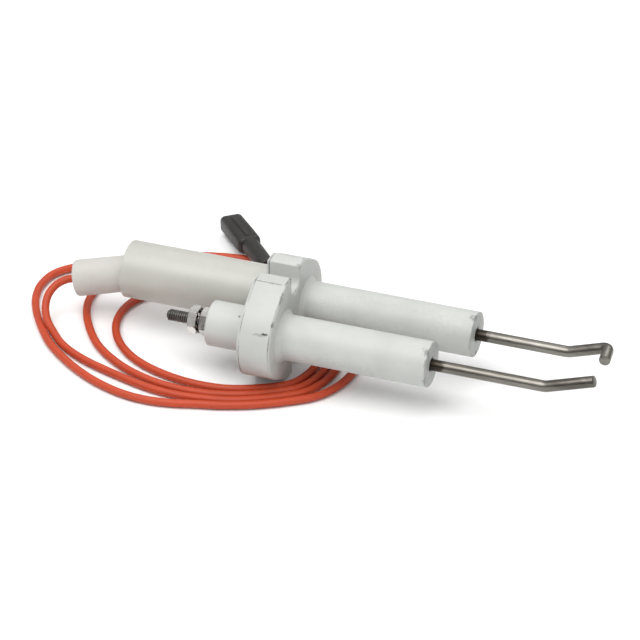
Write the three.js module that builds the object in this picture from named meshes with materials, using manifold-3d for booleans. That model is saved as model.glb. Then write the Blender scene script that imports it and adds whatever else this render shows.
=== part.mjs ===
// Dual ignition electrode: two steatite tubes in one notched flange, a bent ground rod, a hooked
// spark rod, a sleeved high-voltage terminal and an orange silicone lead with an insulated connector.
// Millimetres, +Z up. The assembly is drawn with X along the tubes towards the rod tips (0 at the
// flange's front face), Y across the flange (0 midway between the tubes) and Z up from the surface
// that the flange stands on. The last lines move it so that the origin is under its middle.
import * as THREE from "three";
import { mergeVertices } from "three/addons/utils/BufferGeometryUtils.js";
import Module from "manifold-3d";

const wasm = await Module();
wasm.setup();

// ---- driving dimensions ------------------------------------------------------------------------
const GAP = 0.3; // clearance between pieces that touch on the real object
const FLANGE_THICK = 12;
const LOBE_R = 15.3;
const BOSS_HALF_HEIGHT = 19.1; // middle of the flange to its flat top and bottom
const BOSS_HALF_WIDTH = 9.5;
const NOTCH_HALF_WIDTH = 3.95;
const NOTCH_FLOOR = 10.65; // middle of the flange to the lowest point of a notch
const EDGE_BREAK = 0.7;

const TUBE_SPACING = 23.4;
const TUBE_R = 7.95;
const TUBE_BORE_R = 2.3;
const TUBE_BEHIND = 26.4; // rear face of either tube, behind the flange's front face
const GROUND_TUBE_TIP = 53.2;
const SPARK_TUBE_TIP = 61.8;
const TUBE_CHAMFER = 0.4;

const ROD_R = 2.0;
const ROD_BEND_ANGLE = THREE.MathUtils.degToRad(18.5);
const GROUND_BEND_X = 93.5;
const GROUND_TIP_LENGTH = 18.1;
const SPARK_BEND_X = 94.5;
const SPARK_TIP_LENGTH = 15;
const HOOK = new THREE.Vector3(0.8, -8.2, -0.3); // from the rod's last corner to its cut end
const BEND_R = 7;
const HOOK_R = 2.6;

const THREAD_MAJOR_R = 2.08; // number 8, 32 threads an inch
const THREAD_MINOR_R = 1.66;
const THREAD_PITCH = 0.79375;
const THREADS = 20;
const NUT_FLATS = 8.73;
const NUT_THICK = 3.18;
const NUT_BORE_R = 2.24;
const STACK_GAP = 0.1;
const WASHER_THICK = 0.9;
const WASHER_R = 4.35;
const WASHER_ROOT_R = 3.55;
const WASHER_TEETH = 12;

const SLEEVE_R = 10.2;
const SLEEVE_BORE_R = 8.6;
const SLEEVE_REAR = -66.2;
const SLEEVE_LIFT = 0.3; // the sleeve's weight hangs off the tube a little high
const BOOT_R = 6.45;
const BOOT_BORE_R = 4.6;
const BOOT_CABLE_R = 1.75;
const BOOT_INSIDE = 5; // length of boot before its axis crosses the sleeve's mouth
const BOOT_OUTSIDE = 25.7;
const BOOT_CAP = 6;

const CABLE_R = 1.4;
const RIM = 48; // sides of the large round pieces

const AXIS_Z = BOSS_HALF_HEIGHT;
const GROUND_Y = -TUBE_SPACING / 2;
const SPARK_Y = TUBE_SPACING / 2;

// ---- materials ---------------------------------------------------------------------------------
function finish(color, roughness, metalness) {
  return new THREE.MeshStandardMaterial({ color, roughness, metalness });
}
const CERAMIC = finish(0xeceee9, 0.55, 0);
const CEMENT = finish(0xe0e0da, 0.85, 0);
const STEEL = finish(0x8f8a80, 0.35, 1);
const PLATED = finish(0xc8c6c0, 0.25, 1);
const TINNED = finish(0xb9b4a6, 0.3, 1);
const SLEEVING = finish(0xdedbd2, 0.45, 0);
const BOOT_RUBBER = finish(0xe4e2dc, 0.6, 0);
const ORANGE = finish(0xd25a32, 0.55, 0);
const CHARCOAL = finish(0x2e2b28, 0.6, 0);

// ---- shape helpers -----------------------------------------------------------------------------
// A lathe turns about Y and an extrusion runs along Z: both are laid down along X.
const LATHE_TO_X = new THREE.Matrix4().makeBasis(
  new THREE.Vector3(0, 1, 0), new THREE.Vector3(1, 0, 0), new THREE.Vector3(0, 0, -1));
const EXTRUDE_TO_X = new THREE.Matrix4().makeBasis(
  new THREE.Vector3(0, 1, 0), new THREE.Vector3(0, 0, 1), new THREE.Vector3(1, 0, 0));

// A body of revolution about X from [x, radius] pairs; a hollow one repeats its first pair last.
function turned(pairs, sides = RIM) {
  const profile = pairs.map(([x, radius]) => new THREE.Vector2(radius, x));
  return new THREE.LatheGeometry(profile, sides).applyMatrix4(LATHE_TO_X);
}

// A plain or chamfered pipe along X.
function pipe(x0, x1, outer, inner, chamfer = 0, sides = RIM) {
  return turned([
    [x0, inner], [x0, outer - chamfer], [x0 + chamfer, outer],
    [x1 - chamfer, outer], [x1, outer - chamfer], [x1, inner], [x0, inner],
  ].filter(([x, r], i, all) => i === 0 || x !== all[i - 1][0] || r !== all[i - 1][1]), sides);
}

// A flat shape drawn in Y and Z, made thick along X from x0.
function plate(shape, x0, thickness, edge = 0, curveSegments = 24) {
  const geometry = new THREE.ExtrudeGeometry(shape, {
    depth: thickness - 2 * edge, curveSegments,
    bevelEnabled: edge > 0, bevelThickness: edge, bevelSize: edge, bevelOffset: -edge,
    bevelSegments: 2,
  });
  return geometry.applyMatrix4(EXTRUDE_TO_X).translate(x0 + edge, 0, 0);
}

// A round bar that follows a curve.
function bar(curve, radius, steps, sides) {
  const section = new THREE.Shape(Array.from({ length: sides }, (_, i) => {
    const angle = (2 * Math.PI * i) / sides;
    return new THREE.Vector2(radius * Math.cos(angle), radius * Math.sin(angle));
  }));
  return new THREE.ExtrudeGeometry(section, { steps, extrudePath: curve, bevelEnabled: false });
}

// A path through corner points whose inner corners are rounded.
function roundedPath(corners, radii) {
  const path = new THREE.CurvePath();
  let from = corners[0];
  for (let i = 1; i < corners.length - 1; i += 1) {
    const towards = corners[i - 1].clone().sub(corners[i]).normalize();
    const away = corners[i + 1].clone().sub(corners[i]).normalize();
    const half = Math.acos(-towards.dot(away)) / 2;
    const reach = radii[i - 1] * Math.tan(half);
    const entry = corners[i].clone().addScaledVector(towards, reach);
    const exit = corners[i].clone().addScaledVector(away, reach);
    path.add(new THREE.LineCurve3(from, entry));
    path.add(new THREE.QuadraticBezierCurve3(entry, corners[i], exit));
    from = exit;
  }
  path.add(new THREE.LineCurve3(from, corners.at(-1)));
  return path;
}

function toSolid(geometry) {
  const bare = geometry.index ? geometry.toNonIndexed() : geometry.clone();
  bare.deleteAttribute("normal");
  bare.deleteAttribute("uv");
  const merged = mergeVertices(bare, 1e-4);
  const mesh = new wasm.Mesh({
    numProp: 3,
    vertProperties: new Float32Array(merged.attributes.position.array),
    triVerts: new Uint32Array(merged.index.array),
  });
  mesh.merge();
  return new wasm.Manifold(mesh);
}

function toGeometry(solid) {
  const mesh = solid.getMesh();
  const geometry = new THREE.BufferGeometry();
  geometry.setAttribute("position", new THREE.BufferAttribute(mesh.vertProperties, 3));
  geometry.setIndex(new THREE.BufferAttribute(mesh.triVerts, 1));
  return geometry;
}

function union(...geometries) {
  return toGeometry(geometries.map(toSolid).reduce((whole, next) => whole.add(next)));
}

// ---- the assembly ------------------------------------------------------------------------------
const assembly = new THREE.Group();
const cordNodes = new Set();

function place(name, geometry, material, position = [0, 0, 0], parent = assembly) {
  const mesh = new THREE.Mesh(geometry, material);
  mesh.name = name;
  mesh.position.set(...position);
  parent.add(mesh);
  return mesh;
}

// Flange: two round lobes, a flat boss across the waist, above and below, with a screw notch in
// each boss, and one bore through each lobe.
function flangeOutline() {
  const reach = Math.hypot(TUBE_SPACING / 2 - BOSS_HALF_WIDTH, BOSS_HALF_HEIGHT);
  const slope = Math.atan2(BOSS_HALF_HEIGHT, TUBE_SPACING / 2 - BOSS_HALF_WIDTH);
  const tangent = slope + Math.acos(LOBE_R / reach);
  const notchCentre = NOTCH_FLOOR + NOTCH_HALF_WIDTH;
  const shape = new THREE.Shape();
  shape.absarc(SPARK_Y, 0, LOBE_R, tangent - Math.PI, Math.PI - tangent, false);
  shape.lineTo(BOSS_HALF_WIDTH, BOSS_HALF_HEIGHT);
  shape.lineTo(NOTCH_HALF_WIDTH, BOSS_HALF_HEIGHT);
  shape.absarc(0, notchCentre, NOTCH_HALF_WIDTH, 0, Math.PI, true);
  shape.lineTo(-NOTCH_HALF_WIDTH, BOSS_HALF_HEIGHT);
  shape.lineTo(-BOSS_HALF_WIDTH, BOSS_HALF_HEIGHT);
  shape.absarc(GROUND_Y, 0, LOBE_R, tangent, 2 * Math.PI - tangent, false);
  shape.lineTo(-BOSS_HALF_WIDTH, -BOSS_HALF_HEIGHT);
  shape.lineTo(-NOTCH_HALF_WIDTH, -BOSS_HALF_HEIGHT);
  shape.absarc(0, -notchCentre, NOTCH_HALF_WIDTH, Math.PI, 0, true);
  shape.lineTo(NOTCH_HALF_WIDTH, -BOSS_HALF_HEIGHT);
  shape.lineTo(BOSS_HALF_WIDTH, -BOSS_HALF_HEIGHT);
  return shape;
}

function flange() {
  const shape = flangeOutline();
  for (const y of [GROUND_Y, SPARK_Y]) {
    const bore = new THREE.Path();
    bore.absarc(y, 0, TUBE_R + GAP, 0, 2 * Math.PI, true);
    shape.holes.push(bore);
  }
  return plate(shape, -FLANGE_THICK, FLANGE_THICK, EDGE_BREAK, 16);
}

// A steatite tube with lightly broken ends.
function insulator(tip) {
  return pipe(-TUBE_BEHIND, tip, TUBE_R, TUBE_BORE_R, TUBE_CHAMFER);
}

// A fillet of refractory cement where a tube leaves the flange; side is +1 in front, -1 behind.
const CEMENT_HEIGHT = 1.4;
const CEMENT_LENGTH = 1.6;
function cementFillet(side) {
  const inner = TUBE_R + GAP;
  const thin = 0.15;
  const face = side > 0 ? GAP : -FLANGE_THICK - GAP;
  const corners = [
    [face, inner + CEMENT_HEIGHT],
    [face + side * CEMENT_LENGTH * 0.35, inner + CEMENT_HEIGHT * 0.45],
    [face + side * CEMENT_LENGTH, inner + thin],
    [face + side * CEMENT_LENGTH, inner],
  ];
  const ordered = side > 0 ? corners : [...corners].reverse();
  const closed = side > 0
    ? [[face, inner], ...ordered, [face, inner]]
    : [...ordered, [face, inner], ordered[0]];
  return turned(closed);
}

// The straight part of a rod, threaded at the rear, joined to its bent front part.
const STUD_REAR = -42.7;
const ROD_JOIN = 44;
function shank() {
  const overlap = 2;
  const lead = 0.4;
  const pairs = [[STUD_REAR, 0], [STUD_REAR, THREAD_MINOR_R - 0.2]];
  for (let i = 0; i < THREADS; i += 1) {
    const x = STUD_REAR + lead + i * THREAD_PITCH;
    pairs.push([x, THREAD_MINOR_R], [x + 0.44 * THREAD_PITCH, THREAD_MAJOR_R]);
    pairs.push([x + 0.56 * THREAD_PITCH, THREAD_MAJOR_R]);
  }
  const end = STUD_REAR + lead + THREADS * THREAD_PITCH;
  const core = ROD_R - 0.1;
  pairs.push([end, THREAD_MINOR_R], [end + 0.3, ROD_R], [ROD_JOIN, ROD_R], [ROD_JOIN, core]);
  pairs.push([ROD_JOIN + overlap, core], [ROD_JOIN + overlap, 0]);
  return turned(pairs, 24);
}

function rod(corners, radii, steps) {
  return union(shank(), bar(roundedPath(corners, radii), ROD_R, steps, 20));
}

// The point reached by going forward along the rising part of a rod.
function risen(bendX, length) {
  return new THREE.Vector3(
    bendX + length * Math.cos(ROD_BEND_ANGLE), 0, length * Math.sin(ROD_BEND_ANGLE));
}

function groundRod() {
  const corners = [
    new THREE.Vector3(ROD_JOIN, 0, 0), new THREE.Vector3(GROUND_BEND_X, 0, 0),
    risen(GROUND_BEND_X, GROUND_TIP_LENGTH),
  ];
  return rod(corners, [BEND_R], 40);
}

function sparkRod() {
  const elbow = risen(SPARK_BEND_X, SPARK_TIP_LENGTH);
  const corners = [
    new THREE.Vector3(ROD_JOIN, 0, 0), new THREE.Vector3(SPARK_BEND_X, 0, 0),
    elbow, elbow.clone().add(HOOK),
  ];
  return rod(corners, [BEND_R, HOOK_R], 70);
}

// Hexagon nut with both faces chamfered, standing from x0 towards the rear.
function nut(x0) {
  const corner = NUT_FLATS / Math.sqrt(3);
  const hexagon = new THREE.Shape(Array.from({ length: 6 }, (_, i) => {
    const angle = (Math.PI / 3) * i;
    return new THREE.Vector2(corner * Math.cos(angle), corner * Math.sin(angle));
  }));
  const hole = new THREE.Path();
  hole.absarc(0, 0, NUT_BORE_R, 0, 2 * Math.PI, true);
  hexagon.holes.push(hole);
  const rear = x0 - NUT_THICK;
  const chamfer = 0.5;
  const faceR = NUT_FLATS / 2 - 0.05;
  const envelope = turned([
    [rear, 0], [rear, faceR], [rear + chamfer, corner + 0.05],
    [x0 - chamfer, corner + 0.05], [x0, faceR], [x0, 0],
  ]);
  const blank = toSolid(plate(hexagon, rear, NUT_THICK, 0, 24));
  return toGeometry(blank.intersect(toSolid(envelope)));
}

// External-tooth lock washer, standing from x0 towards the rear.
function lockWasher(x0) {
  const pitch = (2 * Math.PI) / WASHER_TEETH;
  const outline = [];
  for (let i = 0; i < WASHER_TEETH; i += 1) {
    for (const [part, radius] of [
      [-0.34, WASHER_ROOT_R], [-0.2, WASHER_R], [0.2, WASHER_R], [0.34, WASHER_ROOT_R]]) {
      const angle = (i + part) * pitch;
      outline.push(new THREE.Vector2(radius * Math.cos(angle), radius * Math.sin(angle)));
    }
  }
  const shape = new THREE.Shape(outline);
  const hole = new THREE.Path();
  hole.absarc(0, 0, NUT_BORE_R, 0, 2 * Math.PI, true);
  shape.holes.push(hole);
  return plate(shape, x0 - WASHER_THICK, WASHER_THICK, 0, 12);
}

// Ring terminal: a ring on the stud, a tongue over the nut and a crimped barrel behind it.
const RING_THICK = 0.8;
const BARREL_Z = 5.9;
const BARREL_FRONT = -35.6;
const BARREL_REAR = -41;
const BARREL_WALL_FRONT = -36.6;
function ringTerminal(x0) {
  const ringR = 4.1;
  const half = 1.6;
  const ring = new THREE.Shape();
  ring.absarc(0, 0, ringR, 0, 2 * Math.PI, false);
  const hole = new THREE.Path();
  hole.absarc(0, 0, NUT_BORE_R, 0, 2 * Math.PI, true);
  ring.holes.push(hole);
  const rise = BARREL_Z + RING_THICK / 2 - WASHER_ROOT_R;
  const upright = new THREE.BoxGeometry(RING_THICK, 2 * half, rise)
    .translate(x0 - RING_THICK / 2, 0, WASHER_ROOT_R + rise / 2);
  const reach = x0 - BARREL_FRONT + 0.5;
  const tongue = new THREE.BoxGeometry(reach, 2 * half, RING_THICK)
    .translate(x0 - reach / 2, 0, BARREL_Z);
  const outer = CABLE_R + 0.8;
  const barrel = turned([
    [BARREL_REAR, CABLE_R + GAP], [BARREL_REAR, outer], [BARREL_FRONT, outer], [BARREL_FRONT, 0],
    [BARREL_WALL_FRONT, 0], [BARREL_WALL_FRONT, CABLE_R + GAP], [BARREL_REAR, CABLE_R + GAP],
  ], 24).translate(0, 0, BARREL_Z);
  return union(plate(ring, x0 - RING_THICK, RING_THICK, 0, 12), upright, tongue, barrel);
}

// The boot leaves the sleeve drooping and turned a little, on a line through the sleeve's mouth.
const BOOT_DROOP = THREE.MathUtils.degToRad(12);
const BOOT_YAW = THREE.MathUtils.degToRad(10);
const BOOT_DIRECTION = new THREE.Vector3(
  -Math.cos(BOOT_DROOP) * Math.cos(BOOT_YAW),
  -Math.cos(BOOT_DROOP) * Math.sin(BOOT_YAW),
  -Math.sin(BOOT_DROOP));
const BOOT_PIVOT = new THREE.Vector3(-60, SPARK_Y, AXIS_Z + SLEEVE_LIFT);

function alongBoot(distance) {
  return BOOT_PIVOT.clone().addScaledVector(BOOT_DIRECTION, distance);
}

function boot() {
  const length = BOOT_INSIDE + BOOT_OUTSIDE;
  return turned([
    [0, BOOT_BORE_R], [0, BOOT_R], [length, BOOT_R], [length, BOOT_CABLE_R],
    [length - BOOT_CAP, BOOT_CABLE_R], [length - BOOT_CAP, BOOT_BORE_R], [0, BOOT_BORE_R],
  ]);
}

function curve(points) {
  const spline = new THREE.CatmullRomCurve3(points);
  spline.arcLengthDivisions = 2000;
  return spline;
}

function at(x, y, z) {
  return new THREE.Vector3(x, y, z);
}

// The stretch of lead from the ring terminal's barrel to the end of the boot.
function innerLead() {
  const start = BARREL_WALL_FRONT - GAP;
  const drop = at(0, SPARK_Y, AXIS_Z);
  const points = [
    at(start, 0, BARREL_Z), at(start - 3, 0, BARREL_Z), at(BARREL_REAR - 1.5, 0, BARREL_Z),
    at(-47, 0.2, 4.6), at(-51.5, 0.6, 2.4),
  ].map((point) => point.add(drop));
  for (const distance of [-BOOT_INSIDE + 1, 4, 14, BOOT_OUTSIDE]) points.push(alongBoot(distance));
  return bar(curve(points), CABLE_R, 36, 8);
}

// The free lead: out of the boot, down to the surface, three loose turns and on to the connector.
const LEAD_ROUTE = [
  [-85.04, 7.28, 14.0], [-88.4, 6.4, 13.2], [-91.4, 4.4, 11.6], [-93.2, 1.2, 9], [-92.8, -2.7, 6],
  [-90.4, -6.8, 3.5], [-86, -11.3, 1.9], [-81.8, -15.6, 1.5], [-76.4, -19.6, 1.5],
  [-69.7, -23.2, 1.5], [-62, -26.2, 1.5], [-54.3, -28.8, 1.5], [-47.7, -30.8, 1.5],
  [-39.8, -32.6, 1.5], [-31.6, -33.2, 1.5], [-23, -32.4, 1.5], [-12, -29.9, 1.5],
  [0.5, -23.5, 1.5], [9.6, -16.2, 1.5], [13.9, -6, 1.5], [14.3, 6, 1.5], [10.8, 20, 1.5],
  [2.5, 32, 1.5], [-9, 40.6, 1.5], [-25, 45, 1.5], [-45, 45.8, 1.5], [-65, 43.8, 1.5],
  [-82, 40.3, 1.5], [-94.6, 34.4, 1.5],
  [-101.6, 26.6, 1.5], [-103.2, 17.8, 1.5], [-101.6, 9.2, 1.5], [-98.2, 1.4, 1.5],
  [-93.4, -6.4, 1.5],
  [-85.2, -17.2, 1.5], [-74.3, -26.6, 1.5], [-65.5, -32.3, 1.5], [-57.2, -36.2, 1.5],
  [-48.6, -38.8, 1.5], [-40, -39.6, 1.5], [-31.5, -38.6, 1.5], [-23.5, -36.4, 1.5],
  [-15.2, -34.3, 1.5], [-5.4, -30.5, 1.5], [4.8, -24.8, 1.5], [14.2, -17.5, 1.5], [19.2, -8, 1.5],
  [20.8, 3, 1.5], [19, 15, 1.5], [13.6, 27, 1.5], [4.5, 37.5, 1.5], [-7.5, 48, 1.5],
  [-22, 55.8, 1.5], [-38, 58.8, 1.5], [-54, 56.4, 1.5], [-66, 50.6, 2.3], [-74, 43.6, 4.7],
  [-79, 36.4, 4.2], [-82.2, 28.6, 2.2],
  [-83.6, 21, 1.5], [-83, 13, 1.5], [-80.4, 5, 1.5], [-75.6, -3.8, 1.5], [-69.3, -12.2, 1.5],
  [-61.4, -19, 1.5], [-51.8, -24.6, 1.5], [-39.9, -28.4, 1.5], [-27, -29.4, 1.5], [-14, -26.9, 1.5],
  [-1.5, -20.7, 1.5], [6.8, -14.4, 1.5], [10.4, -5, 1.5], [10.8, 7, 1.5], [7, 20, 1.5],
  [-2.5, 30.5, 1.5], [-13, 36, 1.5], [-27, 38.5, 1.5], [-42, 38, 1.5], [-55, 33, 1.5],
  [-64, 25.4, 1.5],
  [-68.6, 16.6, 1.5], [-69.1, 7, 1.5], [-66.6, -1.8, 1.5], [-61.4, -9.8, 1.5], [-53.6, -16.6, 1.5],
  [-43, -21.6, 1.5], [-30, -24.4, 1.5], [-17.5, -23.9, 1.5], [-7, -20.0, 1.5], [2.9, -13.5, 1.5],
  [6.6, -5, 1.5], [6.8, 7, 1.5], [2.6, 20, 1.8], [-5.4, 28.8, 3.4], [-12, 33.4, 5.2],
  [-18.2, 36.8, 7], [-22.6, 39.6, 8.3], [-25.7, 42.7, 8.95], [-28.11, 46.07, 8.98],
].map((point) => at(...point));

// ---- make and name the pieces ------------------------------------------------------------------
const ground = new THREE.Group();
ground.position.set(0, GROUND_Y, AXIS_Z);
const spark = new THREE.Group();
spark.position.set(0, SPARK_Y, AXIS_Z);
assembly.add(ground, spark);

place("flange_block", flange(), CERAMIC, [0, 0, AXIS_Z]);
place("ground_insulator", insulator(GROUND_TUBE_TIP), CERAMIC, [0, 0, 0], ground);
place("spark_insulator", insulator(SPARK_TUBE_TIP), CERAMIC, [0, 0, 0], spark);
place("ground_front_cement", cementFillet(1), CEMENT, [0, 0, 0], ground);
place("ground_rear_cement", cementFillet(-1), CEMENT, [0, 0, 0], ground);
place("spark_front_cement", cementFillet(1), CEMENT, [0, 0, 0], spark);
place("ground_rod", groundRod(), STEEL, [0, 0, 0], ground);
place("spark_rod", sparkRod(), STEEL, [0, 0, 0], spark);

let seat = -TUBE_BEHIND - GAP;
place("ground_inner_nut", nut(seat), PLATED, [0, 0, 0], ground);
place("spark_inner_nut", nut(seat), PLATED, [0, 0, 0], spark);
seat -= NUT_THICK + STACK_GAP;
place("ground_lock_washer", lockWasher(seat), PLATED, [0, 0, 0], ground);
place("ground_terminal_nut", nut(seat - WASHER_THICK - STACK_GAP), PLATED, [0, 0, 0], ground);
place("spark_ring_terminal", ringTerminal(seat), TINNED, [0, 0, 0], spark);
seat -= RING_THICK + STACK_GAP;
place("spark_lock_washer", lockWasher(seat), PLATED, [0, 0, 0], spark);
place("spark_outer_nut", nut(seat - WASHER_THICK - STACK_GAP), PLATED, [0, 0, 0], spark);

const sleeve = pipe(SLEEVE_REAR, -FLANGE_THICK - GAP, SLEEVE_R, SLEEVE_BORE_R, 0.4);
place("terminal_sleeve", sleeve, SLEEVING, [0, 0, SLEEVE_LIFT], spark);
const bootMesh = place("cable_boot", boot(), BOOT_RUBBER, alongBoot(-BOOT_INSIDE).toArray());
bootMesh.quaternion.setFromUnitVectors(new THREE.Vector3(1, 0, 0), BOOT_DIRECTION);
place("inner_lead", innerLead(), ORANGE);

place("lead_cable", bar(curve(LEAD_ROUTE), CABLE_R, 100, 8), ORANGE);
cordNodes.add("lead_cable");

// Insulated female push-on connector, lying over one strand with its mouth on the surface.
const CONNECTOR_NECK = at(-28.3, 46.3, 8.95);
const CONNECTOR_MOUTH = at(-53.4, 77.6, 3.9);
const NECK_LENGTH = 17.6;
const NECK_R = 3.2;
const HOUSING_WIDTH = 8.6;
const HOUSING_HEIGHT = 6.2;
const HOUSING_WALL = 0.9;
const HOUSING_CORNER = 1.8;

// A rounded rectangle centred on the connector's line.
function roundedRectangle(width, height, corner, Kind = THREE.Shape) {
  const [w, h] = [width / 2 - corner, height / 2 - corner];
  const outline = new Kind();
  outline.absarc(w, h, corner, 0, Math.PI / 2, false);
  outline.absarc(-w, h, corner, Math.PI / 2, Math.PI, false);
  outline.absarc(-w, -h, corner, Math.PI, 1.5 * Math.PI, false);
  outline.absarc(w, -h, corner, 1.5 * Math.PI, 2 * Math.PI, false);
  return outline;
}

// Housing: a closed back wall with the neck's opening, then an open-ended rounded box with ribs.
const HOUSING_LENGTH = CONNECTOR_MOUTH.distanceTo(CONNECTOR_NECK) - NECK_LENGTH - GAP;
function housing() {
  const x0 = NECK_LENGTH + GAP;
  const backWall = 3;
  const outer = toSolid(
    plate(roundedRectangle(HOUSING_WIDTH, HOUSING_HEIGHT, HOUSING_CORNER), x0, HOUSING_LENGTH, 0.5, 6));
  const inside = roundedRectangle(
    HOUSING_WIDTH - 2 * HOUSING_WALL, HOUSING_HEIGHT - 2 * HOUSING_WALL, HOUSING_CORNER - HOUSING_WALL);
  const cavity = toSolid(plate(inside, x0 + backWall, HOUSING_LENGTH, 0, 4));
  const entry = toSolid(turned([[x0 - 1, 0], [x0 - 1, 1.8], [x0 + backWall + 1, 1.8],
    [x0 + backWall + 1, 0]], 16));
  return toGeometry(outer.subtract(cavity).subtract(entry));
}

// Receptacle: a flat floor with two rolled edges that spring onto the mating tab, and a stem.
function receptacle() {
  const x0 = NECK_LENGTH + GAP + 4;
  const length = 8;
  const width = 6.0;
  const sheet = 0.5;
  const floor = new THREE.BoxGeometry(length, width, sheet).translate(x0 + length / 2, 0, -1.1);
  const rolls = [-1, 1].flatMap((side) => [
    new THREE.BoxGeometry(length, sheet, 2.4)
      .translate(x0 + length / 2, side * (width - sheet) / 2, -0.15),
    new THREE.BoxGeometry(length, 1.7, sheet)
      .translate(x0 + length / 2, side * (width / 2 - 0.85), 0.8),
  ]);
  const stem = new THREE.BoxGeometry(4.2, 2.2, sheet).translate(x0 - 1.6, 0, -1.1);
  return union(floor, ...rolls, stem);
}

const connector = new THREE.Group();
connector.position.copy(CONNECTOR_NECK);
const pointing = CONNECTOR_MOUTH.clone().sub(CONNECTOR_NECK).normalize();
const across = new THREE.Vector3(0, 0, 1).cross(pointing).normalize();
const above = pointing.clone().cross(across);
connector.quaternion.setFromRotationMatrix(
  new THREE.Matrix4().makeBasis(pointing, across, above));
assembly.add(connector);
const neck = turned([
  [GAP, 0], [GAP, NECK_R - 0.6], [GAP + 0.6, NECK_R - 0.1], [NECK_LENGTH - 1, NECK_R],
  [NECK_LENGTH, NECK_R], [NECK_LENGTH, 0],
], 28);
for (const [name, geometry, material] of [
  ["connector_neck", neck, CHARCOAL],
  ["connector_housing", housing(), CHARCOAL],
  ["connector_receptacle", receptacle(), TINNED],
]) {
  place(name, geometry, material, [0, 0, 0], connector);
  cordNodes.add(name);
}

// ---- origin under the middle of everything but the free lead and its connector -----------------
assembly.updateMatrixWorld(true);
const stance = new THREE.Box3();
assembly.traverse((item) => {
  if (item.isMesh && !cordNodes.has(item.name)) stance.expandByObject(item, true);
});
const middle = stance.getCenter(new THREE.Vector3());
assembly.position.set(-middle.x, -middle.y, -stance.min.z);

export default assembly;
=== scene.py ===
# %% [markdown]
# # A burner's ignition electrode
# Two steel rods run through two ceramic tubes. The tubes are cemented into one notched ceramic flange.
# A sleeve, a rubber boot and an orange high-voltage lead feed the spark rod; the other rod is the ground.
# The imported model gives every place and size, so this first step loads it and keeps its box.

# %% Load the frame
import math

import bmesh
import bpy
from mathutils import Matrix, Vector


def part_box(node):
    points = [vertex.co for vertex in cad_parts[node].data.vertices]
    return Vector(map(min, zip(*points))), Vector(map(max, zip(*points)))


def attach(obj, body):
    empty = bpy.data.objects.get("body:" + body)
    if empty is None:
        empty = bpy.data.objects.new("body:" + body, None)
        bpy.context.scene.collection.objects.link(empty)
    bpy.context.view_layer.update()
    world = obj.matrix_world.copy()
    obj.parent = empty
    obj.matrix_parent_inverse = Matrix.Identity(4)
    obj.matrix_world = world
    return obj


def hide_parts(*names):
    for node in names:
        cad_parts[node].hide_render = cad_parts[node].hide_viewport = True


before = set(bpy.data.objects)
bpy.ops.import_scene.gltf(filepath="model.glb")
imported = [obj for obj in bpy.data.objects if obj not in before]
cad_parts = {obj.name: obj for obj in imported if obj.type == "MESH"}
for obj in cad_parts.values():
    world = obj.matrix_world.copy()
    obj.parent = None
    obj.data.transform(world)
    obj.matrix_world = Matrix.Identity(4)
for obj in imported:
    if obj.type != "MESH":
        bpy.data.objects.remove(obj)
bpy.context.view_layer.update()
MM = 0.001
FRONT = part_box("flange_block")[1].x / MM
AXIS_Z = sum(corner.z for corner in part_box("ground_insulator")) / 2 / MM
GROUND_Y = sum(corner.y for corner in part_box("ground_insulator")) / 2 / MM
SPARK_Y = sum(corner.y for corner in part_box("spark_insulator")) / 2 / MM


def at(x, y, z):
    """A point in metres from millimetres in front of the flange's front face, across, and up."""
    return Vector(((FRONT + x) * MM, y * MM, z * MM))


print("front face at", round(FRONT, 3), "mm, tube axes", round(GROUND_Y, 3), round(SPARK_Y, 3), "mm")

# %% [markdown]
# ## Camera
# A part this small is best seen from far away with a long lens, which keeps its lines nearly parallel.
# The camera could be placed by hand, but an azimuth, an elevation and a distance from one aim point are
# easier to read and to change.

# %% Camera
AZIMUTH = math.radians(19.75)
ELEVATION = math.radians(32)
DISTANCE = 1.5
LENS_MM = 244.7
AIM = (7.47, 3.81, 18.16)


def toward(azimuth, elevation):
    """Unit vector from the object to a viewer at that azimuth, counted from -Y, and elevation."""
    flat = math.cos(elevation)
    return Vector((math.sin(azimuth) * flat, -math.cos(azimuth) * flat, math.sin(elevation)))


camera_data = bpy.data.cameras.new("camera")
camera_data.lens = LENS_MM
camera_data.sensor_width = 36
camera_data.clip_start = 0.01
camera = bpy.data.objects.new("camera", camera_data)
bpy.context.scene.collection.objects.link(camera)
view = toward(AZIMUTH, ELEVATION)
camera.location = at(*AIM) + DISTANCE * view
camera.rotation_euler = view.to_track_quat("Z", "Y").to_euler()
bpy.context.scene.camera = camera
print("camera at", [round(value, 3) for value in camera.location])

# %% [markdown]
# ## The free lead
# On the real part it is a silicone insulated lead, 2.8 mm thick, which leaves the boot, drops to the
# surface and lies in loose turns before it ends in a push-on connector. A curve through chosen points,
# smoothed once, keeps its length under control better than a simulated rope does.

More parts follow.
